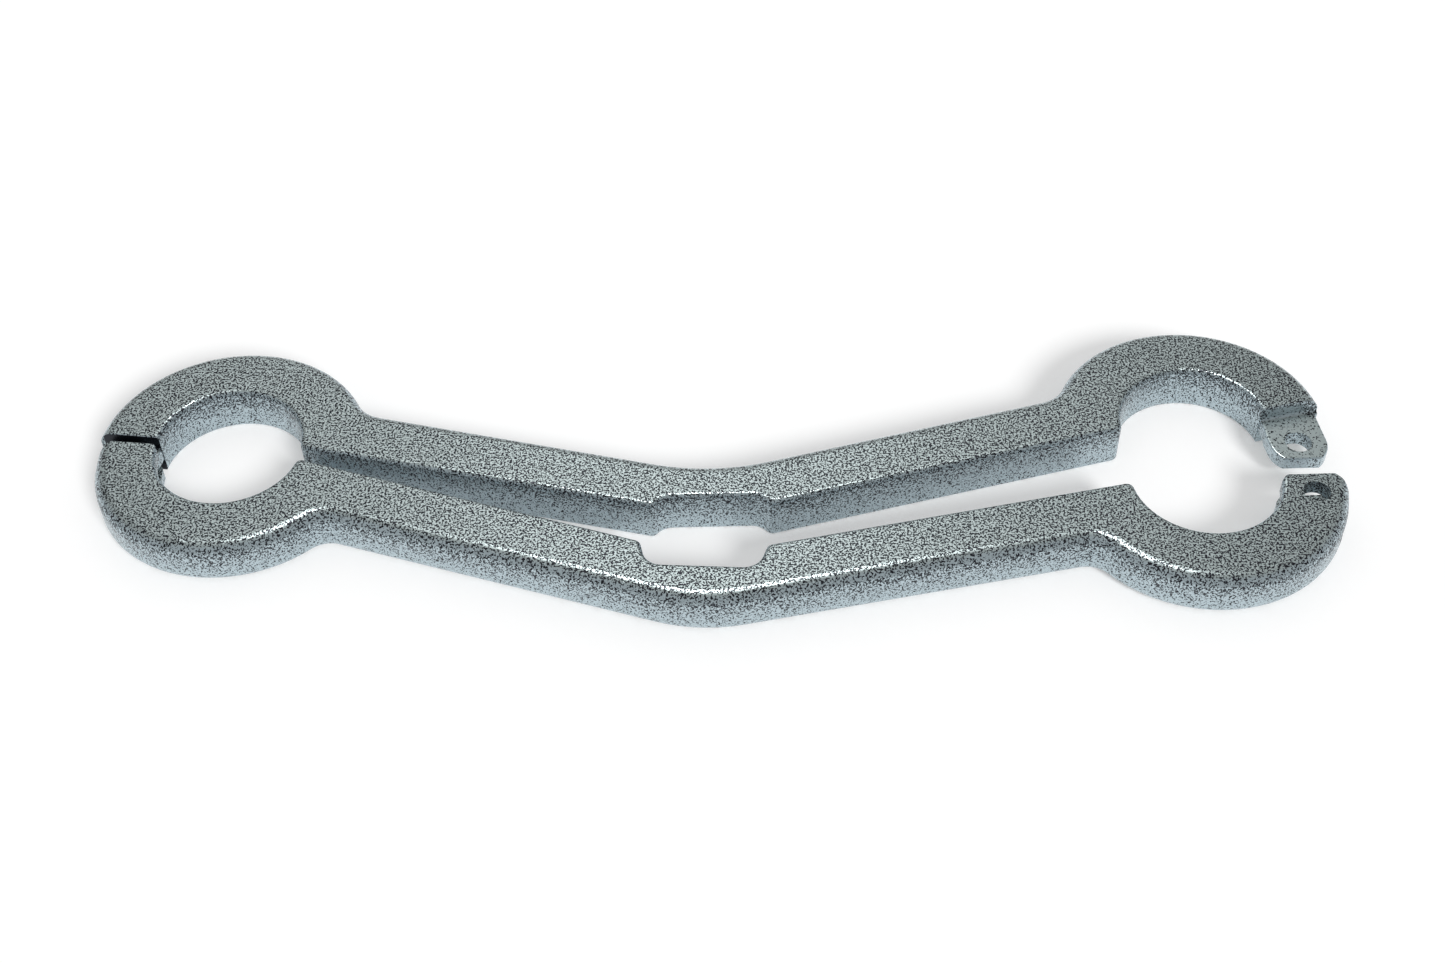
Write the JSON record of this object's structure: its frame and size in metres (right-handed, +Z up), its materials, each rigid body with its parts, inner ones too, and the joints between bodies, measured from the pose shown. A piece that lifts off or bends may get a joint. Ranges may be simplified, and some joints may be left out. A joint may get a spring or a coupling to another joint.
{
  "type": "pipe wrench",
  "caption": "Clamshell pipe wrench: chevron cast halves with a half-ring pipe seat at each end, hinged on a fork-and-tongue knuckle, with an open knuckle for a lock pin.",
  "frame": {"origin": "on the axis of the front half's pipe seat at the hinge end, in the plane that the wrench lies on", "axes": "+X from the hinge end to the lock end, +Y towards the rear half, +Z up through the thickness"},
  "size_m": [0.5183, 0.1635, 0.02],
  "materials": {
    "vein_coat": "gloss silver-grey vein coat over near-black"
  },
  "bodies": {
    "front": {"front_half": "vein_coat", "hinge_pin": "vein_coat"},
    "rear": {"rear_half": "vein_coat"}
  },
  "joints": [
    {"name": "hinge", "type": "hinge", "parent": "front", "child": "rear", "pos_m": [-0.04326, -0.00685, 0.01], "axis": [0, 0, 1], "range_deg": [-4.03, 110]}
  ]
}
